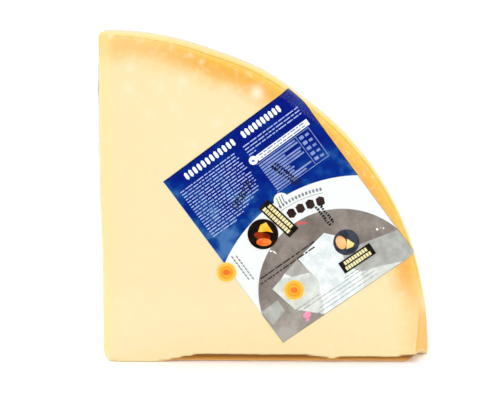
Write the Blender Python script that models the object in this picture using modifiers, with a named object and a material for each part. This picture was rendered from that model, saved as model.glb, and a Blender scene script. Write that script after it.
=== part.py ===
"""A chunk of hard grana cheese in skin-tight film: an eighth of a wheel, with a paper label.

Metres, +Z up, the origin under the middle of the chunk. It stands on one of its two radial cuts, and the
other one is its upright left side. The level cut through the wheel's half height faces -Y, shows the pale
paste and carries the label. The wheel's axis lies along Y, close to the lower left corner, and the convex
rind runs from the top left to the lower right.
"""

import math

import bmesh
import bpy
import numpy as np
from mathutils import Matrix, Vector, noise

# The whole chunk
WIDTH = 0.2184
DEPTH = 0.1150
FRONT_Y = -DEPTH / 2
CORNER_X = -WIDTH / 2

# The wheel it was cut from: the two radial cuts meet a few millimetres beside its axis
WHEEL_RADIUS = 0.2131
AXIS_X = CORNER_X + 0.0042
AXIS_Z = 0.0028
CREST_DEPTH = 0.034
BULGE = 0.016
WHEEL_STEPS = 200

# The rims, where the rind turns over onto the level faces
FRONT_RIM_WIDTH = 0.0105
BACK_RIM_DROP = 0.009
BACK_RIM_WIDTH = 0.011
RIM_ROWS = 5
RIND_ROWS = 9
RIND_WAVE = 0.0009
RIND_WAVE_LENGTH = 0.045

# Where the rind stands out or falls in from a true circle: angle from the top in degrees, metres
RIND_SWELL = (
    (0, 0.0002),
    (10, 0.0004),
    (20, -0.0009),
    (29, 0.0005),
    (38, 0.0003),
    (46, 0.0015),
    (60, 0.0020),
    (69, 0.0016),
    (77, 0.0002),
    (90, 0.0011),
)

# How far the front rim is worn down: angle from the top in degrees, drop in metres
RIM_WEAR = (
    (0, 0.0006),
    (7, 0.0012),
    (17, 0.0029),
    (22, 0.0046),
    (28, 0.0072),
    (74, 0.0075),
    (80, 0.0048),
    (86, 0.0030),
    (90, 0.0030),
)

# The two radial cuts, with one rounded corner between them; the upright one leans in at its foot
CUT_LEAN = 0.0018
CORNER_RADIUS = 0.0085
CORNER_STEPS = 6
CUT_ROWS = 16
CUT_RELIEF = 0.0007
CUT_RELIEF_SIZE = 0.028
OVERCUT = 0.012

# The crag broken from under the front edge: distance from the corner, height above the table
CRAG = (
    (0.040, 0.0000),
    (0.046, 0.0012),
    (0.056, 0.0032),
    (0.067, 0.0051),
    (0.081, 0.0052),
    (0.104, 0.0045),
    (0.138, 0.0043),
    (0.146, 0.0034),
    (0.152, 0.0019),
    (0.160, 0.0034),
    (0.179, 0.0037),
    (0.186, 0.0030),
    (0.196, 0.0040),
    (0.208, 0.0053),
    (0.219, 0.0056),
)
# How far back the crag reaches, by distance from the corner: it is deeper under the rind's end
CRAG_REACH = ((0.000, 0.006), (0.203, 0.006), (0.209, 0.024))
CRAG_STATIONS = (-0.0005, 0.0015, 0.0029, 0.0041, 0.0051, 0.0060, 0.0090, 0.0130, 0.0180, 0.0240)
CRAG_STEP = 0.004
BOTTOM_ROWS = 5

# The corner of the rind broken off at the lower right of the front, as a slanted facet
FACET_TOP = Vector((CORNER_X + 0.2090, FRONT_Y, 0.038))
FACET_FOOT = Vector((CORNER_X + 0.2070, FRONT_Y, 0.003))
FACET_SLOPE = Vector((0.0068, 0.0150, 0.0))
FACET_CUTTER = 0.080

# The label, laid on the level cut with its long side slanting down to the right
LABEL_WIDTH = 0.1040
LABEL_LENGTH = 0.1340
LABEL_THICKNESS = 0.0003
LABEL_GAP = 0.0003
LABEL_TILT = math.radians(36.2)
LABEL_X = CORNER_X + 0.1236
LABEL_Z = 0.0954
LABEL_REACH = 0.2045


def clear_scene():
    for thing in list(bpy.data.objects):
        bpy.data.objects.remove(thing, do_unlink=True)


def collection(name):
    made = bpy.data.collections.new(name)
    bpy.context.scene.collection.children.link(made)
    return made


def material(name, colour, roughness):
    made = bpy.data.materials.new(name)
    made.use_nodes = True
    shader = made.node_tree.nodes["Principled BSDF"]
    shader.inputs["Base Color"].default_value = (*colour, 1.0)
    shader.inputs["Roughness"].default_value = roughness
    shader.inputs["Metallic"].default_value = 0.0
    return made


def add_object(name, mesh, group, finish=None):
    made = bpy.data.objects.new(name, mesh)
    group.objects.link(made)
    if finish:
        mesh.materials.append(finish)
    return made


def hide_cutter(cutter):
    cutter.hide_render = True
    cutter.display_type = "WIRE"


def take_primitive(name, group):
    """Names the primitive just added, and moves it to the given collection."""
    made = bpy.context.active_object
    made.name = name
    for holder in list(made.users_collection):
        holder.objects.unlink(made)
    group.objects.link(made)
    return made


def apply_modifiers(thing):
    """Bakes an object's modifiers and its place into its mesh."""
    bpy.context.view_layer.update()
    evaluated = thing.evaluated_get(bpy.context.evaluated_depsgraph_get())
    mesh = bpy.data.meshes.new_from_object(evaluated)
    mesh.transform(thing.matrix_world)
    thing.modifiers.clear()
    thing.matrix_world = Matrix.Identity(4)
    thing.data = mesh


def boolean(thing, cutter, operation):
    cut = thing.modifiers.new(cutter.name, "BOOLEAN")
    cut.operation = operation
    cut.solver = "EXACT"
    cut.object = cutter


def rim_rounding(depth, width):
    """A quarter ellipse: 1 at the level face, falling to 0 at the given depth."""
    reach = min(max(1.0 - depth / width, 0.0), 1.0)
    return 1.0 - math.sqrt(1.0 - reach**2)


def rind_stations():
    """Depths behind the front face, close together on the two rounded rims."""
    turns = [math.pi / 2 * i / RIM_ROWS for i in range(RIM_ROWS + 1)]
    front = [FRONT_RIM_WIDTH * (1 - math.cos(turn)) for turn in turns]
    back = [DEPTH - BACK_RIM_WIDTH * (1 - math.cos(turn)) for turn in reversed(turns)]
    middle = np.linspace(front[-1], back[0], RIND_ROWS + 2)[1:-1]
    return front + list(middle) + back


def rind_radius(depth):
    bulge = BULGE * ((depth - CREST_DEPTH) / DEPTH) ** 2
    return WHEEL_RADIUS - bulge - BACK_RIM_DROP * rim_rounding(DEPTH - depth, BACK_RIM_WIDTH)


def turned_wheel(group):
    """Half the wheel's height, turned about an upright axis and tipped so that the axis lies along Y."""
    mesh = bpy.data.meshes.new("wheel")
    points = [(rind_radius(depth), 0.0, -depth) for depth in rind_stations()]
    mesh.from_pydata(points, [(i, i + 1) for i in range(len(points) - 1)], [])
    wheel = add_object("wheel", mesh, group)
    turn = wheel.modifiers.new("turn", "SCREW")
    turn.steps = WHEEL_STEPS
    turn.render_steps = WHEEL_STEPS
    turn.use_merge_vertices = True
    turn.merge_threshold = 0.00001
    wheel.rotation_euler = (math.radians(90), 0.0, 0.0)
    wheel.location = (AXIS_X, FRONT_Y, AXIS_Z)
    apply_modifiers(wheel)
    return wheel


def wear_rind(wheel):
    """Wears the front rim down by its angle, gives the rind a slow uneven swell, and closes both faces."""
    angles, drops = zip(*RIM_WEAR)
    swell_angles, swells = zip(*RIND_SWELL)
    shape = bmesh.new()
    shape.from_mesh(wheel.data)
    for vertex in shape.verts:
        x = vertex.co.x - AXIS_X
        z = vertex.co.z - AXIS_Z
        radius = math.hypot(x, z)
        depth = vertex.co.y - FRONT_Y
        angle = math.degrees(math.atan2(x, z))
        drop = float(np.interp(angle, angles, drops)) * rim_rounding(depth, FRONT_RIM_WIDTH)
        swell = float(np.interp(angle, swell_angles, swells))
        swell += RIND_WAVE * noise.noise(vertex.co / RIND_WAVE_LENGTH)
        scale = (radius - drop + swell) / radius
        vertex.co.x = AXIS_X + x * scale
        vertex.co.z = AXIS_Z + z * scale
    bmesh.ops.triangulate(shape, faces=shape.faces)
    bmesh.ops.holes_fill(shape, edges=shape.edges)
    bmesh.ops.recalc_face_normals(shape, faces=shape.faces)
    shape.to_mesh(wheel.data)
    shape.free()


def upright_cut(z):
    return CORNER_X + CUT_LEAN * (1 - z / WIDTH)


def knife_outline():
    """The two cuts seen from the front: down the left side, round the corner and along the bottom."""
    heights = np.linspace(WIDTH + OVERCUT, CORNER_RADIUS, CUT_ROWS)
    side = [(upright_cut(z), z) for z in heights]
    foot = side[-1][0]
    turns = [math.pi / 2 * i / CORNER_STEPS for i in range(1, CORNER_STEPS)]
    corner = [
        (foot + CORNER_RADIUS * (1 - math.cos(turn)), CORNER_RADIUS * (1 - math.sin(turn)))
        for turn in turns
    ]
    start = foot + CORNER_RADIUS
    end = CORNER_X + WIDTH + OVERCUT
    steps = round((end - start) / CRAG_STEP)
    bottom = [(x, 0.0) for x in np.linspace(start, end, steps + 1)]
    return side + corner + bottom + [(end, WIDTH + OVERCUT)]


def crag_height(x, y):
    """How high the broken edge stands above the table: an overhang, then a wall down to the table."""
    height = float(np.interp(x - CORNER_X, *zip(*CRAG)))
    reach = float(np.interp(x - CORNER_X, *zip(*CRAG_REACH)))
    share = min(max((y - FRONT_Y) / reach, 0.0), 1.0)
    broken = 1.0 + 0.10 * noise.noise(Vector((x, y, 0.0)) / 0.006)
    return height * (1.0 - share**2.5) * broken


def cut_relief(co):
    """The shallow waves that a split cheese keeps on its upright cut, into the chunk only."""
    fade = min(max((co.z - CORNER_RADIUS) / CORNER_RADIUS, 0.0), 1.0)
    return CUT_RELIEF * fade * (0.5 + 0.5 * noise.noise(co / CUT_RELIEF_SIZE))


def knife_block(group):
    """All that the two radial cuts leave: a solid as deep as the chunk, with its raw faces."""
    depths = [-OVERCUT] + list(CRAG_STATIONS)
    depths += list(np.linspace(CRAG_STATIONS[-1], DEPTH, BOTTOM_ROWS)[1:-1]) + [DEPTH + OVERCUT]
    shape = bmesh.new()
    outline = [shape.verts.new((x, FRONT_Y + depths[0], z)) for x, z in knife_outline()]
    slice_face = shape.faces.new(outline)
    inner_faces = []
    for depth in depths[1:]:
        grown = bmesh.ops.extrude_face_region(shape, geom=[slice_face])["geom"]
        slice_face = next(item for item in grown if isinstance(item, bmesh.types.BMFace))
        inner_faces.append(slice_face)
        for vertex in slice_face.verts:
            vertex.co.y = FRONT_Y + depth
    bmesh.ops.delete(shape, geom=inner_faces[:-1], context="FACES_ONLY")
    for vertex in shape.verts:
        if vertex.co.z == 0.0:
            vertex.co.z = crag_height(vertex.co.x, vertex.co.y)
        elif vertex.co.x < upright_cut(vertex.co.z) + 0.000001:
            vertex.co.x += cut_relief(vertex.co)
    bmesh.ops.recalc_face_normals(shape, faces=shape.faces)
    bmesh.ops.triangulate(shape, faces=shape.faces)
    mesh = bpy.data.meshes.new("knife_block")
    shape.to_mesh(mesh)
    shape.free()
    block = add_object("knife_block", mesh, group)
    hide_cutter(block)
    return block


def facet_block(group):
    """A cube whose one face lies in the plane of the broken rind corner."""
    up = (FACET_TOP - FACET_FOOT).normalized()
    back = FACET_SLOPE.normalized()
    out = back.cross(up).normalized()
    back = up.cross(out)
    centre = (FACET_TOP + FACET_FOOT) / 2 + out * FACET_CUTTER / 2
    bpy.ops.mesh.primitive_cube_add(size=FACET_CUTTER)
    block = take_primitive("facet_block", group)
    turn = Matrix((out, back, up)).transposed().to_4x4()
    block.matrix_world = Matrix.Translation(centre) @ turn
    apply_modifiers(block)
    hide_cutter(block)
    return block


def cheese(group, cutters):
    paste = material("cheese paste in film", (0.90, 0.74, 0.44), 0.35)
    chunk = turned_wheel(group)
    wear_rind(chunk)
    chunk.name = "cheese"
    boolean(chunk, knife_block(cutters), "INTERSECT")
    boolean(chunk, facet_block(cutters), "DIFFERENCE")
    apply_modifiers(chunk)
    chunk.data.materials.clear()
    chunk.data.materials.append(paste)
    chunk.data.shade_smooth()
    chunk.data.set_sharp_from_angle(angle=math.radians(35))


def label_outline():
    """A flat curve in the XY plane, to be stood up against the front face."""
    curve = bpy.data.curves.new("label", "CURVE")
    curve.dimensions = "2D"
    curve.fill_mode = "BOTH"
    curve.extrude = LABEL_THICKNESS / 2
    spline = curve.splines.new("POLY")
    corners = [(-1, -1), (1, -1), (1, 1), (-1, 1)]
    spline.points.add(len(corners) - 1)
    for point, (across, along) in zip(spline.points, corners):
        point.co = (across * LABEL_WIDTH / 2, along * LABEL_LENGTH / 2, 0.0, 1.0)
    spline.use_cyclic_u = True
    return curve


def label(group, cutters):
    """The flat part of the label: its two outer corners, which bend over the rim, are left off."""
    paper = material("printed label paper", (0.02, 0.05, 0.27), 0.5)
    sheet = add_object("label_sheet", label_outline(), group)
    y = FRONT_Y - LABEL_GAP - LABEL_THICKNESS / 2
    stand = Matrix.Rotation(math.radians(90), 4, "X") @ Matrix.Rotation(LABEL_TILT, 4, "Z")
    sheet.matrix_world = Matrix.Translation((LABEL_X, y, LABEL_Z)) @ stand
    bpy.context.view_layer.update()
    evaluated = sheet.evaluated_get(bpy.context.evaluated_depsgraph_get())
    mesh = bpy.data.meshes.new_from_object(evaluated)
    mesh.transform(sheet.matrix_world)
    bpy.data.objects.remove(sheet, do_unlink=True)
    shape = bmesh.new()
    shape.from_mesh(mesh)
    bmesh.ops.remove_doubles(shape, verts=shape.verts, dist=0.00001)
    bmesh.ops.recalc_face_normals(shape, faces=shape.faces)
    shape.to_mesh(mesh)
    shape.free()
    mesh.materials.clear()
    made = add_object("label", mesh, group, paper)

    bpy.ops.mesh.primitive_cylinder_add(
        vertices=WHEEL_STEPS,
        radius=LABEL_REACH,
        depth=DEPTH,
        location=(AXIS_X, FRONT_Y, AXIS_Z),
        rotation=(math.radians(90), 0.0, 0.0),
    )
    reach = take_primitive("label_reach", cutters)
    hide_cutter(reach)
    boolean(made, reach, "INTERSECT")


clear_scene()
chunk_group = collection("cheese chunk")
cutter_group = collection("cutters")
cheese(chunk_group, cutter_group)
label(chunk_group, cutter_group)
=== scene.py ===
"""A vacuum-packed chunk of aged hard cheese: an eighth of a wheel in film, with a paper label.

It is put together in the order in which the real one is: the chunk is cut and its surface
finished, the printed label is laid on the level cut, and the printed film is drawn tight over both.
"""

import math
import random

import bmesh
import bpy
import numpy as np
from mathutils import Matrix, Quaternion, Vector, noise
from mathutils.bvhtree import BVHTree


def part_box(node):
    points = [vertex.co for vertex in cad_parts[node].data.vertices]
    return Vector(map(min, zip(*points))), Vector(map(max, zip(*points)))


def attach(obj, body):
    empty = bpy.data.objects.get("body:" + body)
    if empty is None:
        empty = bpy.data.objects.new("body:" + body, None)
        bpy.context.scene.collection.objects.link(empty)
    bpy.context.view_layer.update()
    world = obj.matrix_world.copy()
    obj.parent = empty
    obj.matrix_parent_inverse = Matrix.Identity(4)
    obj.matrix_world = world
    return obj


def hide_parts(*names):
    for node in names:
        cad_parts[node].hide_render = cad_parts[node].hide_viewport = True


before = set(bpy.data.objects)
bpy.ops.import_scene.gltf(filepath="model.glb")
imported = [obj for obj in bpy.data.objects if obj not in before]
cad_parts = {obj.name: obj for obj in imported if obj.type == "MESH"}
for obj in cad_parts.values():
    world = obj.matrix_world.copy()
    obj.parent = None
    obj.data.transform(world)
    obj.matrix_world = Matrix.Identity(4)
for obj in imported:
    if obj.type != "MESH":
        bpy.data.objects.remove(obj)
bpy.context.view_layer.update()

MM = 0.001
low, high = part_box("cheese")
CORNER_X, FRONT_Y = low.x, low.y

# The camera stands a little under a metre in front of the level cut and looks slightly down on it,
# straight along the wheel's axis. It was held a fifth of a degree askew.
CAMERA_DISTANCE = 0.900
CAMERA_DOWN = math.radians(8.0)
CAMERA_ROLL = math.radians(0.22)
CAMERA_LENS = 100.1
AIM_ACROSS, AIM_HEIGHT = 97.6 * MM, 107.7 * MM
aim = Vector((CORNER_X + AIM_ACROSS, FRONT_Y, AIM_HEIGHT))
towards = Vector((0.0, -math.cos(CAMERA_DOWN), math.sin(CAMERA_DOWN)))
camera = bpy.data.objects.new("camera", bpy.data.cameras.new("camera"))
camera.data.lens = CAMERA_LENS
camera.location = aim + towards * CAMERA_DISTANCE
roll = Quaternion((0.0, 0.0, 1.0), CAMERA_ROLL)
camera.rotation_euler = ((-towards).to_track_quat("-Z", "Y") @ roll).to_euler()
bpy.context.scene.collection.objects.link(camera)
bpy.context.scene.camera = camera


# The chunk itself: hard paste with its natural rind, one piece. It is split from the wheel along
# two radial cuts, which stay craggy, and sliced level across the middle, which leaves a smooth
# face.
GRID = 1.36 * MM
FLOOR_GAP = 0.15 * MM
# The wheel's axis, and the rind's widest ring, from which it falls back by BULGE over the depth
AXIS_X = CORNER_X + 4.2 * MM
AXIS_Z = 2.8 * MM
DEPTH = high.y - low.y
CREST_DEPTH = 34 * MM
BULGE = 16 * MM
# The crag under the front edge: its height and depth, and where it fades in and out from left to
# right
CRAG_HEIGHT = 14 * MM
CRAG_DEPTH = 12 * MM
CRAG_PRESS = 2.6 * MM
CRAG_START = (32 * MM, 42 * MM)
CRAG_END = (206 * MM, 210 * MM)
# The broken corner at the lower right: where it starts, where it fades upwards, and its facing
FACET_START = 203 * MM
FACET_FADE = (26 * MM, 42 * MM)
FACET_FACING = (0.91, -0.41, 0.05)

# White crystal spots in the paste: distance from the corner, height, radius, strength
CRYSTALS = (
    (101.7, 177.2, 4.2, 1.00),
    (8.4, 213.0, 1.3, 0.90),
    (20.2, 193.0, 3.0, 0.63),
    (19.7, 179.8, 3.6, 0.56),
    (40.6, 180.4, 2.8, 0.50),
    (53.7, 184.6, 3.0, 0.63),
    (36.1, 183.1, 2.2, 0.35),
    (51.8, 178.1, 2.4, 0.31),
    (48.4, 168.4, 2.6, 0.34),
    (32.6, 163.7, 2.8, 0.42),
    (76.8, 158.2, 2.8, 0.59),
    (66.4, 197.1, 1.5, 0.60),
    (58.6, 201.0, 1.4, 0.49),
    (46.9, 205.5, 1.3, 0.42),
    (61.3, 143.5, 2.4, 0.39),
    (82.8, 166.8, 2.0, 0.31),
    (87.9, 160.3, 2.0, 0.28),
    (150.9, 11.4, 1.7, 0.56),
    (160.2, 13.7, 1.5, 0.42),
    (169.9, 14.8, 1.5, 0.42),
    (155.7, 34.4, 1.9, 0.35),
    (160.5, 39.0, 1.6, 0.35),
)


def linked(name, mesh):
    """A new smooth-shaded object of the mesh, in the scene."""
    mesh.shade_smooth()
    made = bpy.data.objects.new(name, mesh)
    bpy.context.scene.collection.objects.link(made)
    return made


def remeshed_chunk(name, grid):
    """An even, softened copy of the chunk's solid, from which cheese and film are both worked."""
    made = linked(name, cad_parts["cheese"].data.copy())
    remesh = made.modifiers.new("even grid", "REMESH")
    remesh.mode = "VOXEL"
    remesh.voxel_size = grid
    soften = made.modifiers.new("soften", "SMOOTH")
    soften.factor = 0.5
    soften.iterations = 2
    evaluated = made.evaluated_get(bpy.context.evaluated_depsgraph_get())
    mesh = bpy.data.meshes.new_from_object(evaluated)
    made.modifiers.clear()
    made.data = mesh
    mesh.materials.clear()
    mesh.shade_smooth()
    return made


def mesh_arrays(mesh):
    """Places and normals of a mesh's vertices, one row each."""
    places = np.empty(len(mesh.vertices) * 3)
    mesh.vertices.foreach_get("co", places)
    normals = np.empty(len(mesh.vertices) * 3)
    mesh.vertex_normals.foreach_get("vector", normals)
    return places.reshape(-1, 3), normals.reshape(-1, 3)


def noise_at(places, size, shift=0.0):
    """Smooth noise from -1 to 1 at each place, with features of the given size."""
    offset = Vector((shift, shift * 0.7, shift * 1.3))
    return np.array([noise.noise(Vector(place / size) + offset) for place in places])


def spread(values, start, end):
    """0 below start and 1 above end, with a soft step between."""
    share = np.clip((values - start) / (end - start), 0.0, 1.0)
    return share * share * (3.0 - 2.0 * share)


def store(mesh, name, values):
    """Keeps one number for each vertex, for the material to read."""
    layer = mesh.attributes.new(name, "FLOAT", "POINT")
    layer.data.foreach_set("value", values.astype(np.float32))


cheese = remeshed_chunk("cheese_chunk", GRID)
places, normals = mesh_arrays(cheese.data)
radii = np.hypot(places[:, 0] - AXIS_X, places[:, 2] - AXIS_Z)
angles = np.degrees(np.arctan2(places[:, 0] - AXIS_X, places[:, 2] - AXIS_Z))
depths = places[:, 1] - FRONT_Y

# The rind's full radius, and the radius that the flat front face reaches, for every second degree
ANGLE_BINS = np.arange(1.0, 90.0, 2.0)
full_radii = []
face_radii = []
for middle in ANGLE_BINS:
    near = np.abs(angles - middle) < 1.6
    full_radii.append(radii[near].max())
    face_radii.append(radii[near & (depths < 0.25 * MM)].max())
full_radius = np.interp(angles, ANGLE_BINS, full_radii)

rind_there = full_radius - BULGE * ((depths - CREST_DEPTH) / DEPTH) ** 2
rind_depth = np.minimum(rind_there - radii, DEPTH - depths)
rind_depth = np.maximum(rind_depth, 0.0) / MM

facing_front = spread(-normals[:, 1], 0.75, 0.97)
facing_cut = np.maximum(spread(-normals[:, 0], 0.7, 0.95), spread(-normals[:, 2], 0.7, 0.95))
facing_rind = 1.0 - np.maximum(facing_front, facing_cut)
across = places[:, 0] - CORNER_X
# Down-facing surfaces of the crag under the front edge: the wall is pressed and nicked there, and
# the material paints shade on them
underside = spread(-normals[:, 2], 0.15, 0.5) * (places[:, 2] < CRAG_HEIGHT)
underside *= spread(across, *CRAG_START) * (1.0 - spread(across, *CRAG_END))
facet = spread(normals @ np.array(FACET_FACING), 0.955, 0.99)
facet *= (across > FACET_START) * (1.0 - spread(places[:, 2], *FACET_FADE))
rind_back = facing_rind * spread(depths, 28 * MM, 60 * MM)
pale_end = np.maximum(1.0 - spread(angles, 6.0, 20.0), 1.6 * spread(angles, 71.0, 82.0))
lemon_side = facing_front * (1.0 - spread(across, 4 * MM, 13 * MM))

crystal = np.zeros(len(places))
for reach, height, size, strength in CRYSTALS:
    away = np.hypot(across - reach * MM, places[:, 2] - height * MM) / (size * MM)
    crystal = np.maximum(crystal, strength * np.exp(-(away**2)) * (depths < 3 * MM))

# The level cut is nearly smooth, the rind is dimpled, and the split sides are craggy
broad = noise_at(places, 11 * MM)
grain = noise_at(places, 3.6 * MM, 5.0)
dents = 0.035 * facing_front * (1 + broad) + 0.03 * facing_front * (1 + grain)
dents += facing_cut * (0.30 * np.abs(broad) + 0.22 * (1 + grain))
dents += facing_rind * (0.16 * (1 + broad) + 0.05 * (1 + grain))
places -= normals * (dents * MM)[:, None]
# The crag's wall stands a little steeper than in the solid, and its lip is finely ragged
pressed = np.interp(depths, (0.0, CRAG_DEPTH / 2, CRAG_DEPTH), (0.0, CRAG_PRESS, CRAG_DEPTH))
places[:, 1] += (pressed - depths) * underside * (depths < CRAG_DEPTH)
nicks = noise_at(places, 2.6 * MM, 3.0) * (depths < 2 * MM) * spread(underside, 0.0, 0.6)
nicks *= across < FACET_START
places[:, 2] += 0.55 * MM * nicks * (places[:, 2] > 1.5 * MM)
places[:, 2] = np.maximum(places[:, 2], FLOOR_GAP)
cheese.data.vertices.foreach_set("co", places.ravel())
store(cheese.data, "rind_depth", rind_depth)
store(cheese.data, "crystal", crystal)
store(cheese.data, "underside", underside)
store(cheese.data, "height", places[:, 2] / MM)
store(cheese.data, "facet", facet)
store(cheese.data, "rind_back", rind_back)
store(cheese.data, "pale_end", pale_end)
store(cheese.data, "lemon_side", lemon_side)
cheese.data.update()


def linear(hex_text):
    """An sRGB hex colour as linear red, green, blue and alpha."""
    channels = [int(hex_text[i : i + 2], 16) / 255 for i in (1, 3, 5)]
    return (*[c / 12.92 if c <= 0.04045 else ((c + 0.055) / 1.055) ** 2.4 for c in channels], 1.0)


def add(tree, kind, settings=None, links=None):
    """Adds a node. Settings are its properties or sockets' values, links are outputs to plug in."""
    made = tree.nodes.new(kind)
    for key, value in (settings or {}).items():
        if isinstance(key, str) and hasattr(made, key):
            setattr(made, key, value)
        else:
            made.inputs[key].default_value = value
    for key, source in (links or {}).items():
        tree.links.new(source, made.inputs[key])
    return made


def new_material(name):
    """A new material and its node tree, still empty."""
    made = bpy.data.materials.new(name)
    made.use_nodes = True
    made.node_tree.nodes.clear()
    return made, made.node_tree


def set_ramp(ramp, stops):
    """Fills a colour ramp from (position, hex colour) pairs."""
    elements = ramp.color_ramp.elements
    while len(elements) < len(stops):
        elements.new(1.0)
    for element, (position, colour) in zip(elements, stops):
        element.position = position
        element.color = linear(colour)


# Aged paste and its oiled rind: a waxy, nearly matte surface. The paste is pale straw and turns
# amber in the last centimetre under the rind. A thin darker line parts it from the rind's clearer
# yellow. Each colour stands for a depth in millimetres under the rind, down to RIND_REACH.
RIND_REACH = 40.0
PASTE_BY_DEPTH = (
    (0.0, "#ecd46c"),
    (1.0, "#e9c759"),
    (1.4, "#cda144"),
    (1.9, "#ebc052"),
    (4.0, "#eab54b"),
    (8.0, "#e9ad52"),
    (12.0, "#ebb868"),
    (16.0, "#edcc90"),
    (23.0, "#eddaad"),
    (40.0, "#eddbb1"),
)


def cheese_material():
    """Paste and rind in one, coloured by the numbers stored on the mesh."""
    made, tree = new_material("aged cheese paste and rind")
    spot = add(tree, "ShaderNodeTexCoord").outputs["Object"]

    def stored(name):
        return add(tree, "ShaderNodeAttribute", {"attribute_name": name}).outputs["Fac"]

    # Blotches about 12 mm across push the amber zone in and out by 2 mm, but leave the rind's line
    blotch = add(tree, "ShaderNodeTexNoise", {"Scale": 80.0, "Detail": 3.0}, {"Vector": spot})
    push = add(
        tree,
        "ShaderNodeMapRange",
        {"From Min": 0.3, "From Max": 0.7, "To Min": -2.0, "To Max": 2.0},
        {"Value": blotch.outputs["Fac"]},
    )
    inner = add(
        tree,
        "ShaderNodeMapRange",
        {"From Min": 2.0, "From Max": 9.0},
        {"Value": stored("rind_depth")},
    )
    pushed = add(
        tree,
        "ShaderNodeMath",
        {"operation": "MULTIPLY_ADD"},
        {0: push.outputs[0], 1: inner.outputs[0], 2: stored("rind_depth")},
    )
    share = add(
        tree,
        "ShaderNodeMath",
        {"operation": "DIVIDE", 1: RIND_REACH, "use_clamp": True},
        {0: pushed.outputs[0]},
    )
    ramp = add(tree, "ShaderNodeValToRGB", links={"Fac": share.outputs[0]})
    set_ramp(ramp, [(reach / RIND_REACH, colour) for reach, colour in PASTE_BY_DEPTH])
    calm = add(
        tree, "ShaderNodeMath", {"operation": "MULTIPLY", 1: 0.38}, {0: stored("pale_end")}
    )
    calmed = add(
        tree,
        "ShaderNodeMix",
        {"data_type": "RGBA", 7: linear("#efdaa8")},
        {0: calm.outputs[0], 6: ramp.outputs["Color"]},
    )
    # Away from the cut's rim the rind itself is a drier golden tan
    tanned = add(
        tree, "ShaderNodeMath", {"operation": "MULTIPLY", 1: 0.75}, {0: stored("rind_back")}
    )
    rinded = add(
        tree,
        "ShaderNodeMix",
        {"data_type": "RGBA", 7: linear("#cf9f4a")},
        {0: tanned.outputs[0], 6: calmed.outputs[2]},
    )
    # Faint pale mottling, 4 mm and 1.5 mm across
    mottle = add(tree, "ShaderNodeTexNoise", {"Scale": 240.0, "Detail": 4.0}, {"Vector": spot})
    mottle_share = add(
        tree,
        "ShaderNodeMapRange",
        {"From Min": 0.52, "From Max": 0.78, "To Min": 0.0, "To Max": 0.35},
        {"Value": mottle.outputs["Fac"]},
    )
    mottled = add(
        tree,
        "ShaderNodeMix",
        {"data_type": "RGBA", 7: linear("#f2e4c6")},
        {0: mottle_share.outputs[0], 6: rinded.outputs[2]},
    )
    # A lemon tinge along the upright cut
    tinge = add(
        tree, "ShaderNodeMath", {"operation": "MULTIPLY", 1: 0.5}, {0: stored("lemon_side")}
    )
    tinged = add(
        tree,
        "ShaderNodeMix",
        {"data_type": "RGBA", 7: linear("#e9dd9c")},
        {0: tinge.outputs[0], 6: mottled.outputs[2]},
    )
    spotted = add(
        tree,
        "ShaderNodeMix",
        {"data_type": "RGBA", 7: linear("#f1e5ca")},
        {0: stored("crystal"), 6: tinged.outputs[2]},
    )
    # Where a corner of the rind has broken off, the fresh break is a clear golden yellow
    golden = add(
        tree, "ShaderNodeMath", {"operation": "MULTIPLY", 1: 0.9}, {0: stored("facet")}
    )
    broken = add(
        tree,
        "ShaderNodeMix",
        {"data_type": "RGBA", 7: linear("#e8ae34")},
        {0: golden.outputs[0], 6: spotted.outputs[2]},
    )
    # Painted shade on the crag under the front edge: its down-facing paste is coloured pale at its
    # foot, amber 1 mm up and dark brown from 4 mm up, darkest under the lip where the overhang's
    # shade falls.
    rise = add(
        tree,
        "ShaderNodeMapRange",
        {"From Min": 0.0, "From Max": 5.0},
        {"Value": stored("height")},
    )
    amber = add(tree, "ShaderNodeValToRGB", links={"Fac": rise.outputs[0]})
    set_ramp(amber, [(0.0, "#f9dfba"), (0.22, "#dfad68"), (0.5, "#bd802e"), (0.78, "#885610")])
    crag_shaded = add(
        tree,
        "ShaderNodeMix",
        {"data_type": "RGBA"},
        {0: stored("underside"), 6: broken.outputs[2], 7: amber.outputs["Color"]},
    )
    # Grit 1 mm across gives the cut paste its fine tooth
    grit = add(tree, "ShaderNodeTexNoise", {"Scale": 900.0, "Detail": 3.0}, {"Vector": spot})
    bump = add(
        tree,
        "ShaderNodeBump",
        {"Strength": 0.25, "Distance": 0.0003},
        {"Height": grit.outputs["Fac"]},
    )
    skin = add(
        tree,
        "ShaderNodeBsdfPrincipled",
        {"Roughness": 0.6, "IOR": 1.40, "Specular IOR Level": 0.15},
        {"Base Color": crag_shaded.outputs[2], "Normal": bump.outputs["Normal"]},
    )
    add(tree, "ShaderNodeOutputMaterial", links={"Surface": skin.outputs["BSDF"]})
    return made


cheese.data.materials.append(cheese_material())
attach(cheese, "root")
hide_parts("cheese")


# The label: one sheet of coated paper, printed before packing and laid on the level cut under the
# film. It lies flat on the face, and its two right-hand corners are drawn back over the worn rim.
LABEL_WIDTH = 104.0
LABEL_LENGTH = 134.0
PAPER_LIFT = 0.13
PAPER_GRID = 1.0
# The sheet's corners on the face, in millimetres from the chunk's corner and up from the table
SHEET_TOP_LEFT = np.array((41.3, 119.6))
SHEET_TOP_RIGHT = np.array((124.4, 181.8))
SHEET_LOW_RIGHT = np.array((205.5, 73.5))
SHEET_LOW_LEFT = np.array((119.7, 13.4))
# The paper starts to bend a little inside the face's rim, leaves the face over a short bend, and
# is held short of the chunk's outline. What is past that is drawn round to the rind.
FACE_SPARE = 1.0 * MM
BEND_LENGTH = 2.5 * MM
RIM_SPARE = 1.8 * MM

chunk_surface = BVHTree.FromPolygons(
    [Vector(place) for place in places], [tuple(face.vertices) for face in cheese.data.polygons]
)


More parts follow.
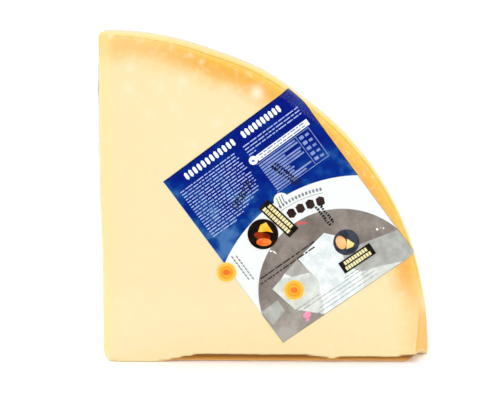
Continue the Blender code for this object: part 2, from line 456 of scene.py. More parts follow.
def on_face(x, z, lift):
    """A point laid on the chunk from the front, in millimetres: on the face, then round the rim."""
    x, z = CORNER_X + x * MM, z * MM
    away = math.hypot(x - AXIS_X, z - AXIS_Z)
    angle = math.atan2(x - AXIS_X, z - AXIS_Z)
    flat = Vector((x, FRONT_Y - lift * MM, z))
    reach = float(np.interp(math.degrees(angle), ANGLE_BINS, face_radii)) - FACE_SPARE
    if away <= reach:
        return flat
    limit = float(np.interp(math.degrees(angle), ANGLE_BINS, full_radii)) - RIM_SPARE
    held = min(away, limit)
    outward = Vector((math.sin(angle), 0.0, math.cos(angle)))
    start = Vector((AXIS_X, FRONT_Y - 5 * MM, AXIS_Z)) + outward * held
    place, normal, _, _ = chunk_surface.ray_cast(start, Vector((0.0, 1.0, 0.0)))
    if away > limit:
        over = away - limit
        place, normal, _, _ = chunk_surface.find_nearest(
            place + outward * 0.6 * over + Vector((0.0, 2.4 * over, 0.0))
        )
    bent = place + normal * (lift + 0.03) * MM
    return flat.lerp(bent, min((away - reach) / BEND_LENGTH, 1.0))


def on_label(u, v, lift):
    """A point of the label in millimetres: u to the right along its top edge, v down its side."""
    across, down = u / LABEL_WIDTH, v / LABEL_LENGTH
    top = SHEET_TOP_LEFT * (1 - across) + SHEET_TOP_RIGHT * across
    foot = SHEET_LOW_LEFT * (1 - across) + SHEET_LOW_RIGHT * across
    x, z = top * (1 - down) + foot * down
    return on_face(x, z, lift)


def label_sheet():
    """The paper, as a grid of points laid on the chunk, with its own millimetres as its UV map."""
    columns = round(LABEL_WIDTH / PAPER_GRID)
    rows = round(LABEL_LENGTH / PAPER_GRID)
    shape = bmesh.new()
    prints = shape.loops.layers.uv.new("print")
    spots = {}
    grid = []
    for row in range(rows + 1):
        line = []
        for column in range(columns + 1):
            u, v = LABEL_WIDTH * column / columns, LABEL_LENGTH * row / rows
            vertex = shape.verts.new(on_label(u, v, PAPER_LIFT))
            spots[vertex] = (u, v)
            line.append(vertex)
        grid.append(line)
    for row in range(rows):
        for column in range(columns):
            face = shape.faces.new(
                (
                    grid[row][column],
                    grid[row + 1][column],
                    grid[row + 1][column + 1],
                    grid[row][column + 1],
                )
            )
            for loop in face.loops:
                loop[prints].uv = spots[loop.vert]
    mesh = bpy.data.meshes.new("label_paper")
    shape.to_mesh(mesh)
    shape.free()
    made = linked("label_paper", mesh)
    thick = made.modifiers.new("paper", "SOLIDIFY")
    thick.thickness = 0.12 * MM
    thick.offset = -1.0
    return made


# Coated paper, offset printed: deep blue above, a white band and a slate grey disc below, all by
# distance in millimetres from two centres on the label's middle line.
BLUE_CENTRE = (49.7, 149.5)
BLUE_RADIUS = 95.5
SLATE_CENTRE = (51.5, 126.4)
SLATE_RADIUS = 53.8


def label_material():
    """The label's large fields of colour, with its trimmed edge and its darkened top and right
    edges, the right one painted shade.
    """
    made, tree = new_material("offset-printed coated paper")
    flat = add(tree, "ShaderNodeUVMap", {"uv_map": "print"}).outputs["UV"]
    spot = add(tree, "ShaderNodeTexCoord").outputs["Object"]

    def inside(centre, radius):
        away = add(
            tree, "ShaderNodeVectorMath", {"operation": "DISTANCE", 1: (*centre, 0.0)}, {0: flat}
        )
        return add(
            tree,
            "ShaderNodeMapRange",
            {"From Min": radius - 0.12, "From Max": radius + 0.12, "To Min": 1.0, "To Max": 0.0},
            {"Value": away.outputs["Value"]},
        ).outputs[0]

    # Cloudy lights in the blue, 12 mm across, only low on the field
    cloud = add(tree, "ShaderNodeTexNoise", {"Scale": 85.0, "Detail": 6.0}, {"Vector": spot})
    halves = add(tree, "ShaderNodeSeparateXYZ", links={"Vector": flat})
    along, lower = halves.outputs["X"], halves.outputs["Y"]
    fade = add(
        tree,
        "ShaderNodeMapRange",
        {"From Min": 20.0, "From Max": 62.0, "To Min": -0.16, "To Max": 0.08},
        {"Value": lower},
    )
    lit = add(
        tree, "ShaderNodeMath", {"operation": "ADD"}, {0: cloud.outputs["Fac"], 1: fade.outputs[0]}
    )
    # The blue is greener towards the left edge
    leftward = add(
        tree,
        "ShaderNodeMapRange",
        {"From Min": 0.0, "From Max": 45.0, "To Min": 0.17, "To Max": 0.0},
        {"Value": along},
    )
    greened = add(
        tree, "ShaderNodeMath", {"operation": "ADD"}, {0: lit.outputs[0], 1: leftward.outputs[0]}
    )
    blue = add(tree, "ShaderNodeValToRGB", links={"Fac": greened.outputs[0]})
    set_ramp(blue, [(0.3, "#091a7c"), (0.5, "#092c88"), (0.6, "#154592"), (0.75, "#4673ae")])
    # Cloudy slate, blotched 20 mm across and gritty down to a tenth of a millimetre
    stone = add(
        tree,
        "ShaderNodeTexNoise",
        {"Scale": 48.0, "Detail": 8.0, "Roughness": 0.72},
        {"Vector": spot},
    )
    paler = add(
        tree,
        "ShaderNodeMapRange",
        {"From Min": 98.0, "From Max": 126.0, "To Min": 0.0, "To Max": 0.18},
        {"Value": lower},
    )
    worn = add(
        tree, "ShaderNodeMath", {"operation": "ADD"}, {0: stone.outputs["Fac"], 1: paler.outputs[0]}
    )
    slate = add(tree, "ShaderNodeValToRGB", links={"Fac": worn.outputs[0]})
    set_ramp(slate, [(0.3, "#665e5a"), (0.5, "#837a75"), (0.62, "#958d88"), (0.78, "#aba6a1")])
    above = add(
        tree,
        "ShaderNodeMix",
        {"data_type": "RGBA", 7: linear("#e9edef")},
        {0: inside(BLUE_CENTRE, BLUE_RADIUS), 6: blue.outputs["Color"]},
    )
    below = add(
        tree,
        "ShaderNodeMix",
        {"data_type": "RGBA"},
        {0: inside(SLATE_CENTRE, SLATE_RADIUS), 6: above.outputs[2], 7: slate.outputs["Color"]},
    )
    # The print stops 0.3 mm short of the trimmed left edge, down to the slate. The right edge,
    # where the sheet turns away over the rim, is darkened as painted shade, and a thin strip along
    # the top edge is darkened as well.
    edge = add(tree, "ShaderNodeMath", {"operation": "LESS_THAN", 1: 0.3}, {0: along})
    upper = add(tree, "ShaderNodeMath", {"operation": "LESS_THAN", 1: 100.0}, {0: lower})
    margin = add(
        tree, "ShaderNodeMath", {"operation": "MULTIPLY"}, {0: edge.outputs[0], 1: upper.outputs[0]}
    )
    trimmed = add(
        tree,
        "ShaderNodeMix",
        {"data_type": "RGBA", 7: linear("#dfe3ea")},
        {0: margin.outputs[0], 6: below.outputs[2]},
    )
    right_edge = add(
        tree,
        "ShaderNodeMapRange",
        {
            "From Min": LABEL_WIDTH - 0.6,
            "From Max": LABEL_WIDTH - 0.2,
            "To Min": 0.0,
            "To Max": 0.45,
        },
        {"Value": along},
    )
    top_edge = add(
        tree,
        "ShaderNodeMapRange",
        {"From Min": 0.4, "From Max": 1.1, "To Min": 0.6, "To Max": 0.0},
        {"Value": lower},
    )
    edge_darkening = add(
        tree,
        "ShaderNodeMath",
        {"operation": "MAXIMUM"},
        {0: right_edge.outputs[0], 1: top_edge.outputs[0]},
    )
    edge_darkened = add(
        tree,
        "ShaderNodeMix",
        {"data_type": "RGBA", 7: linear("#15122a")},
        {0: edge_darkening.outputs[0], 6: trimmed.outputs[2]},
    )
    paper = add(
        tree,
        "ShaderNodeBsdfPrincipled",
        {"Roughness": 0.6, "IOR": 1.45, "Specular IOR Level": 0.0},
        {"Base Color": edge_darkened.outputs[2]},
    )
    add(tree, "ShaderNodeOutputMaterial", links={"Surface": paper.outputs["BSDF"]})
    return made


label = label_sheet()
label.data.materials.append(label_material())
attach(label, "root")
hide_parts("label")


# The smaller print on the label: flat inks a few hundredths of a millimetre thick. All wording is
# left out, and plain blocks, dashes, discs and fields stand where the lines of print are.
PRINT_LIFT = 0.165
PRINT_STEP = PAPER_GRID
INK_THICKNESS = 0.03 * MM
# Inks printed over others lie higher by these
FIELD_OVER, ARC_OVER, LINE_OVER, SHADE_OVER = 0.02, 0.04, 0.05, 0.06


def bar(u, v, length, height):
    """A bar from u to the right, centred on height v."""
    top, foot = v - height / 2, v + height / 2
    return [[(u, top), (u, foot), (u + length, foot), (u + length, top)]]


def shifted(faces, u, v, turn=0.0):
    """Faces drawn round their own centre, turned by some degrees and moved to their place."""
    spin = math.radians(turn)
    moved = []
    for face in faces:
        corners = []
        for x, y in face:
            along = u + x * math.cos(spin) - y * math.sin(spin)
            corners.append((along, v + x * math.sin(spin) + y * math.cos(spin)))
        moved.append(corners)
    return moved


def disc(u, v, across, upright=None, turn=0.0, sides=36):
    """A round or oval face: its two radii and how far it is turned."""
    upright = upright or across
    corners = []
    for side in range(sides):
        angle = -math.tau * side / sides
        corners.append((across * math.cos(angle), upright * math.sin(angle)))
    return shifted([corners], u, v, turn)


def hexagon(u, v, width, height, turn=0.0):
    """An upright six-sided block."""
    shape = ((-1, -0.62), (-1, 0.62), (0, 1), (1, 0.62), (1, -0.62), (0, -1))
    corners = [(x * width / 2, y * height / 2) for x, y in shape]
    return shifted([corners], u, v, turn)


def dashes(chance, u, v, length, height):
    """A row of dashes of uneven length, as a line of small print looks from afar."""
    faces = []
    start = u
    while start < u + length - 1.0:
        dash = min(chance.uniform(1.4, 6.0), u + length - start)
        faces += bar(start, v, dash, height)
        start += dash + 0.75
    return faces


def ink_material(name, first, second):
    """Printing ink in two near shades, clouded 5 mm across."""
    made, tree = new_material(name)
    spot = add(tree, "ShaderNodeTexCoord").outputs["Object"]
    cloud = add(tree, "ShaderNodeTexNoise", {"Scale": 200.0, "Detail": 4.0}, {"Vector": spot})
    ramp = add(tree, "ShaderNodeValToRGB", links={"Fac": cloud.outputs["Fac"]})
    set_ramp(ramp, [(0.35, first), (0.65, second)])
    shader = add(
        tree,
        "ShaderNodeBsdfPrincipled",
        {"Roughness": 0.6, "IOR": 1.45, "Specular IOR Level": 0.0},
        {"Base Color": ramp.outputs["Color"]},
    )
    add(tree, "ShaderNodeOutputMaterial", links={"Surface": shader.outputs["BSDF"]})
    return made


def printed(name, faces, material, place, lift):
    """One ink's shapes: drawn flat, cut every millimetre both ways, then laid down by place."""
    shape = bmesh.new()
    for face in faces:
        shape.faces.new([shape.verts.new((*corner, 0.0)) for corner in face])
    for across in (Vector((1.0, 0.0, 0.0)), Vector((0.0, 1.0, 0.0))):
        reaches = [vertex.co.dot(across) for vertex in shape.verts]
        cut = PRINT_STEP * math.ceil(min(reaches) / PRINT_STEP)
        while cut < max(reaches):
            everything = shape.verts[:] + shape.edges[:] + shape.faces[:]
            bmesh.ops.bisect_plane(shape, geom=everything, plane_co=across * cut, plane_no=across)
            cut += PRINT_STEP
    for vertex in shape.verts:
        vertex.co = place(vertex.co.x, vertex.co.y, lift)
    mesh = bpy.data.meshes.new(name)
    shape.to_mesh(mesh)
    shape.free()
    made = linked(name, mesh)
    mesh.shade_flat()
    mesh.materials.append(material)
    thick = made.modifiers.new("ink", "SOLIDIFY")
    thick.thickness = INK_THICKNESS
    thick.offset = 1.0
    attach(made, "root")


chance = random.Random(7)
white_ink = ink_material("white offset ink", "#eef2f6", "#f4f6f8")
# The headline's two groups of blocks: start, pitch, number
HEADLINE_GROUPS = ((14.7, 3.36, 12), (60.2, 3.1, 10))
headline = []
for first, pitch, count in HEADLINE_GROUPS:
    for block in range(count):
        headline += hexagon(first + pitch * block, 6.3, 2.2, 5.4)
headline += bar(58.2, 24.1, 40.4, 4.1)
headline += disc(55.4, 23.6, 2.9)
headline += disc(54.6, 55.2, 4.9)
printed("headline_blocks", headline, white_ink, on_label, PRINT_LIFT)
bar_print = dashes(chance, 60.4, 23.1, 36.0, 0.7) + dashes(chance, 60.4, 25.1, 35.0, 0.7)
bar_print += disc(55.2, 23.8, 1.1, 0.7, 30.0, sides=12)
bar_ink = ink_material("mid blue offset ink", "#5b70ad", "#7184bb")
printed("bar_print", bar_print, bar_ink, on_label, PRINT_LIFT + LINE_OVER)

# Where each line of the left-hand block of small print ends. The lowest ones give way to the curve.
SMALL_LEFT = 4.8
SMALL_ENDS = (
    48.3, 48.6, 48.9, 47.4, 50.0, 48.8, 49.6, 47.2, 50.2, 49.4,
    48.9, 50.0, 47.8, 49.2, 48.0, 41.6, 36.2, 30.8, 25.4,
)
small_print = []
for line, end in enumerate(SMALL_ENDS):
    small_print += dashes(chance, SMALL_LEFT, 12.7 + 2.0 * line, end - SMALL_LEFT, 0.66)
for v, length in ((12.8, 43.4), (15.0, 43.2), (17.2, 43.0), (19.3, 5.4)):
    small_print += dashes(chance, 55.2, v, length, 0.72)
pale_ink = ink_material("pale blue offset ink", "#93a6dc", "#b4c3ee")
printed("small_print", small_print, pale_ink, on_label, PRINT_LIFT)

# The ruled table: the ends of its lines, two short columns, and the rules round it
TABLE_LEFT = 56.4
TABLE_ENDS = (84.6, 85.2, 74.0, 85.0, 83.8, 84.9, 72.5, 74.5, 73.0, 85.1, 80.0)
RULE_WIDTH = 0.45
table_print = []
for line, end in enumerate(TABLE_ENDS):
    table_print += bar(TABLE_LEFT, 28.9 + 1.9 * line, end - TABLE_LEFT, 1.12)
for line in range(5):
    table_print += bar(87.6, 30.0 + 4.1 * line, 2.9, 2.2)
    table_print += bar(91.8, 30.4 + 4.1 * line, 2.6, 1.6)
for v in (27.2, 49.6):
    table_print += bar(55.6, v, 41.0, RULE_WIDTH)
for left in (86.0, 96.2):
    right = left + RULE_WIDTH
    for top in (27.2, 30.3, 33.4, 36.5, 39.6, 42.7, 45.8):
        table_print += [[(left, top), (left, top + 3.1), (right, top + 3.1), (right, top)]]
table_ink = ink_material("grey blue offset ink", "#7488c2", "#8d9fd2")
printed("table_print", table_print, table_ink, on_label, PRINT_LIFT)

# Pale fields on the slate: a crumpled sheet of greaseproof paper and two lighter slabs of stone
stone_ink = ink_material("light stone offset ink", "#a2a39f", "#b6b8b5")
slabs = [
    [(66.0, 107.0), (60.0, 120.0), (60.0, 133.7), (103.7, 133.7), (103.7, 114.8),
     (79.4, 108.7)],
    [(0.4, 108.6), (2.0, 120.0), (13.4, 117.0), (14.0, 108.1)],
]
printed("stone_slabs", slabs, stone_ink, on_label, PRINT_LIFT)
sheet_ink = ink_material("greaseproof white offset ink", "#d6dfe3", "#f0f6f8")
sheet = [
    [(40.6, 93.1), (41.6, 104.4), (43.0, 112.0), (33.0, 133.6), (64.0, 133.6), (68.6, 123.9),
     (63.3, 115.4), (69.1, 94.8), (64.2, 88.9)],
    [(27.8, 96.1), (24.2, 97.7), (30.4, 100.7)],
]
printed("greaseproof_sheet", sheet, sheet_ink, on_label, PRINT_LIFT + FIELD_OVER)
fold_ink = ink_material("shaded white offset ink", "#c6cbc8", "#dee1de")
folds = [
    [(24.2, 97.7), (15.4, 100.0), (19.4, 120.0), (33.0, 133.6), (43.0, 112.0), (41.4, 104.9),
     (30.4, 100.7)],
    [(68.6, 123.9), (64.0, 133.6), (94.0, 133.6), (80.0, 127.5)],
]
printed("greaseproof_fold", folds, fold_ink, on_label, PRINT_LIFT + FIELD_OVER)
shade_ink = ink_material("grey shade offset ink", "#a5a29d", "#b4b1ac")
shade = [[(39.8, 93.1), (27.8, 96.1), (30.4, 100.7), (41.8, 105.1)]]
printed("greaseproof_shade", shade, shade_ink, on_label, PRINT_LIFT + SHADE_OVER)


def arc_block(ring, turn, width, height):
    """A block on a ring round the slate disc, upright along its radius."""
    reach = math.radians(turn)
    u = SLATE_CENTRE[0] + ring * math.sin(reach)
    v = SLATE_CENTRE[1] - ring * math.cos(reach)
    return hexagon(u, v, width, height, turn)


dark_ink = ink_material("dark brown offset ink", "#2c1d1b", "#40302c")
arc_print = []
for turn in (3.2, 9.4, 15.9, 22.4):
    arc_print += arc_block(60.4, turn, 5.3, 6.6)
printed("arc_blocks", arc_print, dark_ink, on_label, PRINT_LIFT + ARC_OVER)

# Grey print: an arc of fine blocks over a line, two upright rows on the white band, rows across the
# foot and three strokes on the small disc
grey_print = []
for turn in range(-8, 26, 2):
    grey_print += arc_block(68.0, turn, 1.35, 2.5)
    grey_print += arc_block(65.4, turn, 2.35, 0.3)
for row, start in ((6.4, 66.4), (9.0, 68.0)):
    for step in range(8):
        top = start + 2.5 * step
        foot = top + 1.9
        grey_print += [[(row, top), (row + 0.2, foot), (row + 0.95, foot), (row + 0.75, top)]]
for first, v, length in (
    (19.2, 120.6, 19.0),
    (57.0, 121.2, 11.0),
    (21.5, 123.0, 50.0),
    (36.0, 125.6, 38.0),
    (33.0, 128.2, 43.0),
    (30.2, 130.8, 46.0),
):
    grey_print += dashes(chance, first, v, length, 0.36)
for u in (52.6, 54.5, 56.4):
    grey_print += [[(u, 52.2), (u - 1.3, 57.6), (u - 0.6, 57.6), (u + 0.7, 52.2)]]
grey_ink = ink_material("grey offset ink", "#6d7078", "#8b8e95")
printed("grey_print", grey_print, grey_ink, on_label, PRINT_LIFT + LINE_OVER)

thin_print = dashes(chance, 13.1, 89.9, 42.8, 0.95) + dashes(chance, 11.2, 92.9, 44.0, 0.95)
thin_ink = ink_material("near black offset ink", "#3a3433", "#4b4442")
printed("thin_lines", thin_print, thin_ink, on_label, PRINT_LIFT + LINE_OVER)

red_ink = ink_material("red offset ink", "#b54a4e", "#cf6a6b")
red = disc(55.4, 74.6, 2.3, 1.3, 30.0) + disc(58.2, 76.6, 1.3, 0.8, 30.0)
printed("red_spot", red, red_ink, on_label, PRINT_LIFT)
pink_ink = ink_material("pink offset ink", "#ea7fa6", "#f29bbb")
pink = disc(23.5, 127.4, 2.8, 2.2) + disc(21.9, 130.3, 1.3, 0.9)
printed("pink_spot", pink, pink_ink, on_label, PRINT_LIFT + LINE_OVER)
specks = disc(93.2, 106.8, 0.8) + disc(96.9, 108.6, 0.5) + disc(95.4, 107.3, 0.35)
specks += disc(30.9, 80.6, 1.7, 0.45, 75.0) + disc(29.4, 78.6, 0.7)
printed("white_specks", specks, white_ink, on_label, PRINT_LIFT + LINE_OVER)


# The film: a clear multilayer bag, emptied of air and shrunk tight over cheese and label. It is
# drawn into small puckers across the rind.
FILM_GRID = 2.2 * MM
FILM_LIFT = 0.30 * MM
FILM_SPARE = 0.02 * MM
FILM_FLOOR_GAP = 0.05 * MM
PAPER_CLEARANCE = 0.17 * MM
PUCKER_HEIGHT = 0.25 * MM
PUCKER_WIDTH = 5 * MM
PUCKER_LENGTH = 26 * MM


def film_material():
    """Clear film: next to no colour, and gloss that grows towards grazing angles."""
    made, tree = new_material("clear shrink film")
    spot = add(tree, "ShaderNodeTexCoord").outputs["Object"]
    # Slack waves, 20 mm across, that bend the reflections
    slack = add(tree, "ShaderNodeTexNoise", {"Scale": 50.0, "Detail": 2.0}, {"Vector": spot})
    bump = add(
        tree,
        "ShaderNodeBump",
        {"Strength": 0.2, "Distance": 0.0015},
        {"Height": slack.outputs["Fac"]},
    )
    clear = add(tree, "ShaderNodeBsdfTransparent", {"Color": linear("#fdfdfb")})
    gloss = add(
        tree, "ShaderNodeBsdfGlossy", {"Roughness": 0.12}, {"Normal": bump.outputs["Normal"]}
    )
    # 2.5% of the light is thrown back face on, and more only at grazing angles
    facing = add(
        tree, "ShaderNodeLayerWeight", {"Blend": 0.5}, {"Normal": bump.outputs["Normal"]}
    )
    grazing = add(
        tree, "ShaderNodeMath", {"operation": "POWER", 1: 4.0}, {0: facing.outputs["Facing"]}
    )
    share = add(
        tree,
        "ShaderNodeMapRange",
        {"From Min": 0.0, "From Max": 1.0, "To Min": 0.025, "To Max": 0.40},
        {"Value": grazing.outputs[0]},
    )
    mixed = add(
        tree,
        "ShaderNodeMixShader",
        links={0: share.outputs[0], 1: clear.outputs[0], 2: gloss.outputs[0]},
    )
    add(tree, "ShaderNodeOutputMaterial", links={"Surface": mixed.outputs[0]})
    return made


film = remeshed_chunk("film_skin", FILM_GRID)
film_places, film_normals = mesh_arrays(film.data)
film_radii = np.hypot(film_places[:, 0] - AXIS_X, film_places[:, 2] - AXIS_Z)
film_angles = np.arctan2(film_places[:, 0] - AXIS_X, film_places[:, 2] - AXIS_Z)
film_depths = film_places[:, 1] - FRONT_Y
flat_sides = np.maximum(
    spread(-film_normals[:, 1], 0.6, 0.95),
    spread(-film_normals[:, 0], 0.6, 0.95),
)
unrolled = np.column_stack(
    (
        film_angles * film_radii / PUCKER_WIDTH,
        film_depths / PUCKER_LENGTH,
        np.zeros(len(film_places)),
    )
)
puckers = np.maximum(0.0, 1.0 - 3.0 * np.abs(noise_at(unrolled, 1.0, 9.0)))
film_lifts = FILM_LIFT + FILM_SPARE + PUCKER_HEIGHT * puckers * (1.0 - flat_sides)
film_places += film_normals * film_lifts[:, None]
for index, place in enumerate(film_places):
    nearest, normal, _, _ = chunk_surface.find_nearest(Vector(place))
    if (Vector(place) - nearest).dot(normal) < FILM_LIFT:
        film_places[index] = nearest + normal * FILM_LIFT
# The film also stays clear of the paper and its inks, where the label bridges the worn rim
paper_surface = BVHTree.FromPolygons(
    [vertex.co for vertex in label.data.vertices],
    [tuple(face.vertices) for face in label.data.polygons],
)
for index, place in enumerate(film_places):
    nearest, normal, _, _ = paper_surface.find_nearest(Vector(place), 4 * MM)
    if nearest is None:
        continue
    clearance = (Vector(place) - nearest).dot(normal)
    if clearance < PAPER_CLEARANCE:
        film_places[index] = Vector(place) + normal * (PAPER_CLEARANCE - clearance)
film_places[:, 2] = np.maximum(film_places[:, 2], FILM_FLOOR_GAP)
film.data.vertices.foreach_set("co", film_places.ravel())
film.data.update()
film.data.materials.append(film_material())
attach(film, "root")


# The pinch: a narrow fin where the bag closes on itself along the upright cut. It is the same film
# doubled and clear, with shade painted into its tint: darker towards its fold, and darkest at three
# creases.
PINCH_FOOT, PINCH_TOP = 80.0, 197.0
PINCH_WIDTH = 2.0
PINCH_ROWS, PINCH_COLUMNS = 60, 6
PINCH_THICKNESS = 0.10 * MM
# Creases with painted shade: height, darkness
PINCH_CREASES = ((180, 0.75), (141, 0.5), (110, 0.45))


def pinch_material():
    """Doubled clear film whose tint is painted shade, darker the nearer it is to the fold."""
    made, tree = new_material("doubled shrink film")
    fold = add(tree, "ShaderNodeAttribute", {"attribute_name": "fold"}).outputs["Fac"]
    ramp = add(tree, "ShaderNodeValToRGB", links={"Fac": fold})
    set_ramp(ramp, [(0.0, "#f6f5ee"), (0.55, "#efeee4"), (0.85, "#8b8a80"), (1.0, "#5e5d55")])
    clear = add(tree, "ShaderNodeBsdfTransparent", links={"Color": ramp.outputs["Color"]})
    gloss = add(tree, "ShaderNodeBsdfGlossy", {"Roughness": 0.1})
    mixed = add(
        tree, "ShaderNodeMixShader", {0: 0.06}, {1: clear.outputs[0], 2: gloss.outputs[0]}
    )
    add(tree, "ShaderNodeOutputMaterial", links={"Surface": mixed.outputs[0]})
    return made


def film_pinch():
    """The fin, as rows of points that stand off the upright cut."""
    shape = bmesh.new()
    rows = []
    folds = []
    for step in range(PINCH_ROWS + 1):
        share = step / PINCH_ROWS
        height = PINCH_FOOT + (PINCH_TOP - PINCH_FOOT) * share
        start = Vector((CORNER_X - 9 * MM, FRONT_Y + 7 * MM, height * MM))
        place, _, _, _ = chunk_surface.ray_cast(start, Vector((1.0, 0.0, 0.0)))
        width = PINCH_WIDTH * math.sin(math.pi * share) ** 0.5
        width *= 0.75 + 0.25 * noise.noise(Vector((0.0, 0.0, height / 14)))
        # How much shade is painted into the fin's tint at this height; it grows towards the fold
        dark = 0.15 + sum(
            strength * math.exp(-(((height - middle) / 9) ** 2))
            for middle, strength in PINCH_CREASES
        )
        line = []
        for column in range(PINCH_COLUMNS + 1):
            out = column / PINCH_COLUMNS
            sway = 0.5 * math.sin(height / 9) * out
            spot = place + Vector((-(0.45 + width * out) * MM, (sway - 1.2 * out) * MM, 0.0))
            line.append(shape.verts.new(spot))
            folds.append(out * dark)
        rows.append(line)
    for below, above in zip(rows, rows[1:]):
        for column in range(PINCH_COLUMNS):
            shape.faces.new(
                (below[column], below[column + 1], above[column + 1], above[column])
            )
    mesh = bpy.data.meshes.new("film_pinch")
    shape.to_mesh(mesh)
    shape.free()
    made = linked("film_pinch", mesh)
    store(mesh, "fold", np.array(folds))
    mesh.materials.append(pinch_material())
    thick = made.modifiers.new("film", "SOLIDIFY")
    thick.thickness = PINCH_THICKNESS
    return made


pinch = film_pinch()
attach(pinch, "root")


# The marks on the film: round seals, round pictures and name plates, gravure printed in solid inks.
# They carry plain shapes and rows of blocks only, and stand where the print is on the real bag.
MARK_LIFT = 0.36
MARK_OVER, SLICE_OVER, BLOCK_OVER = 0.03, 0.05, 0.06


def round_mark(x, z, across, upright=None, turn=0.0):
    """A disc on the film, its corners in anticlockwise order as seen from the front."""
    return [face[::-1] for face in disc(x, z, across, upright, turn)]


def block_mark(left, foot, right, top):
    """A four-cornered face on the film, anticlockwise from its lower left."""
    return [(left, foot), (right, foot), (right, top), (left, top)]


def ring_mark(x, z, outer, inner, sides=36):
    """A ring on the film, as a round of four-cornered faces."""
    faces = []
    for side in range(sides):
        first, second = math.tau * side / sides, math.tau * (side + 1) / sides
        faces.append(
            [
                (x + inner * math.cos(first), z + inner * math.sin(first)),
                (x + outer * math.cos(first), z + outer * math.sin(first)),
                (x + outer * math.cos(second), z + outer * math.sin(second)),
                (x + inner * math.cos(second), z + inner * math.sin(second)),
            ]
        )
    return faces


# Round seals: centre, radius
SEALS = ((82.5, 60.4, 6.55), (126.6, 48.8, 6.7))
BEADS = 14
seal_body = []
seal_rims = []
seal_cores = []
seal_beads = []
for x, z, radius in SEALS:
    seal_body += round_mark(x, z, radius)
    seal_rims += ring_mark(x, z, radius, radius * 0.93)
    seal_rims += ring_mark(x, z, radius * 0.80, radius * 0.77)
    seal_cores += round_mark(x, z, radius * 0.36, radius * 0.30)
    for step in range(BEADS):
        angle = math.tau * step / BEADS
        seal_beads += round_mark(
            x + radius * 0.53 * math.cos(angle),
            z + radius * 0.53 * math.sin(angle),
            radius * 0.065,
        )
orange_ink = ink_material("orange film ink", "#f0a52c", "#f4b038")
printed("seals", seal_body, orange_ink, on_face, MARK_LIFT)
rim_ink = ink_material("pale yellow film ink", "#f5d876", "#f8e08c")
printed("seal_rims", seal_rims, rim_ink, on_face, MARK_LIFT + MARK_OVER)
core_ink = ink_material("red orange film ink", "#e26228", "#ee7c34")
printed("seal_cores", seal_cores + seal_beads, core_ink, on_face, MARK_LIFT + MARK_OVER)

# Round pictures: centre, radius
PICTURES = ((106.1, 85.7, 10.0), (160.3, 80.6, 8.5))
black_ink = ink_material("black film ink", "#120d0c", "#241814")
printed("picture_one", round_mark(*PICTURES[0]), black_ink, on_face, MARK_LIFT)
slate_ink = ink_material("slate film ink", "#2a2e38", "#454954")
printed("picture_two", round_mark(*PICTURES[1]), slate_ink, on_face, MARK_LIFT)
x, z, _ = PICTURES[0]
wedge = shifted([[(-3.4, 1.2), (2.6, 1.9), (6.6, 1.0), (2.0, 7.8), (-1.6, 6.2)]], x, z)
amber_ink = ink_material("amber film ink", "#e9a221", "#f6c445")
printed("picture_wedge", wedge, amber_ink, on_face, MARK_LIFT + MARK_OVER)
brown_ink = ink_material("red brown film ink", "#6e1c0a", "#9c3410")
brown_shade = round_mark(x - 0.4, z - 1.3, 5.4, 2.6, -12.0)
printed("picture_shade", brown_shade, brown_ink, on_face, MARK_LIFT + MARK_OVER)
slice_ink = ink_material("deep orange film ink", "#d9581f", "#f08a3a")
orange_slice = round_mark(x + 0.6, z - 5.2, 4.9, 2.6)
printed("picture_slice", orange_slice, slice_ink, on_face, MARK_LIFT + SLICE_OVER)
x, z, _ = PICTURES[1]
tan_ink = ink_material("tan film ink", "#d99a63", "#f0bf85")
half = round_mark(x - 3.4, z - 0.2, 3.3, 4.6, 24.0)
printed("picture_half", half, tan_ink, on_face, MARK_LIFT + MARK_OVER)
straw_ink = ink_material("straw film ink", "#e3c878", "#f1de96")
straw = shifted([[(0.5, 2.3), (0.1, -4.6), (4.2, -3.0), (5.3, -0.8)]], x, z)
printed("picture_corner", straw, straw_ink, on_face, MARK_LIFT + MARK_OVER)

# Name plates: centre, length, height, turn, blocks in a row
PLATES = ((116.2, 96.0, 27.5, 8.5, -42.9, 11), (167.5, 70.0, 24.2, 8.2, 34.5, 10))
plate_faces = []
plate_blocks = []
for x, z, length, height, turn, count in PLATES:
    plate = block_mark(-length / 2, -height / 2, length / 2, height / 2)
    plate_faces += shifted([plate], x, z, turn)
    pitch = (length - 4.4) / count
    for row in (-1, 1):
        for block in range(count - (row > 0)):
            left = -length / 2 + 2.2 + pitch * (block + (0.5 if row > 0 else 0.0))
            foot = row * height * 0.215 - height * 0.155
            face = block_mark(left, foot, left + pitch * 0.78, foot + height * 0.31)
            plate_blocks += shifted([face], x, z, turn)
plate_ink = ink_material("dark plate film ink", "#17150f", "#26231a")
printed("name_plates", plate_faces, plate_ink, on_face, MARK_LIFT + MARK_OVER)
gold_ink = ink_material("pale gold film ink", "#dccd93", "#ece2b4")
printed("plate_blocks", plate_blocks, gold_ink, on_face, MARK_LIFT + BLOCK_OVER)

# Ink-jet coding, sprayed across the film in short dark strokes: centre, turn, strokes in a row
CODING_PLACES = ((121.5, 125.0, -36.0, 12), (92.4, 111.8, 60.0, 12), (146.5, 98.6, -51.0, 9))
CODING_PITCH = 1.8
CODING_ROW = 2.9
coding = []
for x, z, turn, marks in CODING_PLACES:
    for row in (-1, 0):
        for mark in range(marks):
            left = CODING_PITCH * (mark - marks / 2)
            right = left + chance.uniform(0.7, 1.4)
            foot = CODING_ROW * row + chance.uniform(0.0, 0.5)
            top = foot + chance.uniform(1.4, 2.1)
            coding += shifted([block_mark(left, foot, right, top)], x, z, turn)
coding_ink = ink_material("black coding ink", "#16151b", "#2a2930")
printed("coding_strokes", coding, coding_ink, on_face, MARK_LIFT)


# The table is a plain white board that glows faintly, in a white room. Two black cards, one lying
# in front and one upright behind the camera, are seen only in the film's gloss and keep the print
# deep. Each card's name, place and lean in degrees:
CARDS = (
    ("low_card", (0.0, -1.28, 0.002), 0.0),
    ("high_card", (0.0, -2.3, 1.0), 90.0),
)


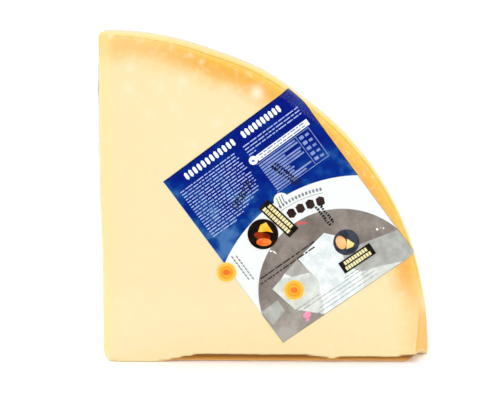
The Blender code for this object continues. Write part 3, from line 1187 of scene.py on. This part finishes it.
def room():
    """The board, the two cards and the white world round them."""
    bpy.ops.mesh.primitive_plane_add(size=8.0, location=(0.0, 0.0, 0.0))
    board = bpy.context.active_object
    board.name = "floor"
    made, tree = new_material("white table board")
    shader = add(
        tree,
        "ShaderNodeBsdfPrincipled",
        {
            "Base Color": linear("#fafafa"),
            "Roughness": 0.6,
            "Emission Color": (1.0, 1.0, 1.0, 1.0),
            "Emission Strength": 0.12,
        },
    )
    add(tree, "ShaderNodeOutputMaterial", links={"Surface": shader.outputs["BSDF"]})
    board.data.materials.append(made)

    made, tree = new_material("black card")
    shader = add(
        tree,
        "ShaderNodeBsdfPrincipled",
        {"Base Color": linear("#0c0c0c"), "Roughness": 1.0, "Specular IOR Level": 0.0},
    )
    add(tree, "ShaderNodeOutputMaterial", links={"Surface": shader.outputs["BSDF"]})
    for name, place, lean in CARDS:
        tilt = (math.radians(lean), 0.0, 0.0)
        bpy.ops.mesh.primitive_plane_add(size=2.0, location=place, rotation=tilt)
        card = bpy.context.active_object
        card.name = name
        card.data.materials.append(made)
        card.visible_camera = False
        card.visible_diffuse = False
        card.visible_shadow = False

    world = bpy.data.worlds.new("white room")
    world.use_nodes = True
    tree = world.node_tree
    tree.nodes.clear()
    sky = add(tree, "ShaderNodeBackground", {"Color": (1.0, 1.0, 1.0, 1.0), "Strength": 1.15})
    add(tree, "ShaderNodeOutputWorld", links={"Surface": sky.outputs["Background"]})
    bpy.context.scene.world = world


def softbox(name, place, size, power):
    """A square lamp that faces the chunk's middle."""
    lamp = bpy.data.lights.new(name, "AREA")
    lamp.shape = "SQUARE"
    lamp.size = size
    lamp.energy = power
    made = bpy.data.objects.new(name, lamp)
    made.location = place
    shine = Vector((0.0, 0.0, 0.1)) - Vector(place)
    made.rotation_euler = shine.to_track_quat("-Z", "Y").to_euler()
    made.visible_glossy = False
    bpy.context.scene.collection.objects.link(made)


room()
softbox("key", (-0.7, -1.4, 0.9), 1.0, 2.4)
softbox("fill", (1.0, -1.3, 0.7), 1.0, 1.8)
softbox("top", (0.1, 0.5, 1.5), 1.2, 4.0)
bpy.context.scene.view_settings.view_transform = "Standard"
